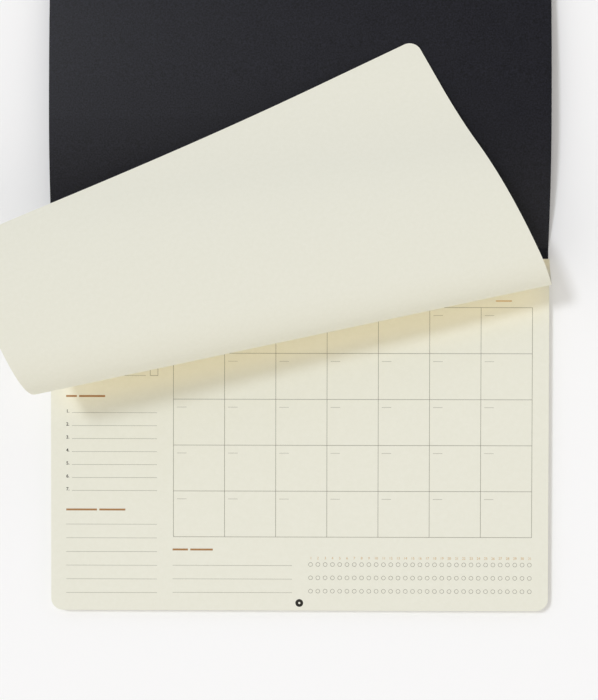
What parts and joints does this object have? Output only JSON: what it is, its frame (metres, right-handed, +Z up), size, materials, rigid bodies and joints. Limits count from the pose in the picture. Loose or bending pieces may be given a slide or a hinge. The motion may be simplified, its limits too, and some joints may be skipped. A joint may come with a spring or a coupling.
{
  "type": "desk pad",
  "caption": "Landscape desk pad of glued paper sheets on a card back, its black card cover open flat behind it and its top sheet rolled back to show the month page.",
  "frame": {"origin": "middle of the pad's underside, on the desk", "axes": "+X to the right across the page, +Y towards the glued edge and the open cover, +Z up from the desk"},
  "size_m": [0.482, 0.6009, 0.1152],
  "materials": {
    "page_paper": "uncoated cream paper, printed in grey and brown",
    "sheet_paper": "uncoated cream paper, blank back",
    "padding_glue": "dried padding glue, satin",
    "cover_card": "black card, fine matt grain"
  },
  "bodies": {
    "pad": {"page_block": "page_paper", "turned_sheet": "sheet_paper", "binding_glue": "padding_glue", "back_cover": "cover_card"},
    "cover": {"front_cover": "cover_card"}
  },
  "joints": [
    {"name": "cover_hinge", "type": "hinge", "parent": "pad", "child": "cover", "pos_m": [0, 0.14905, -0.00015], "axis": [1, 0, 0], "range_deg": [-180, 0]}
  ]
}
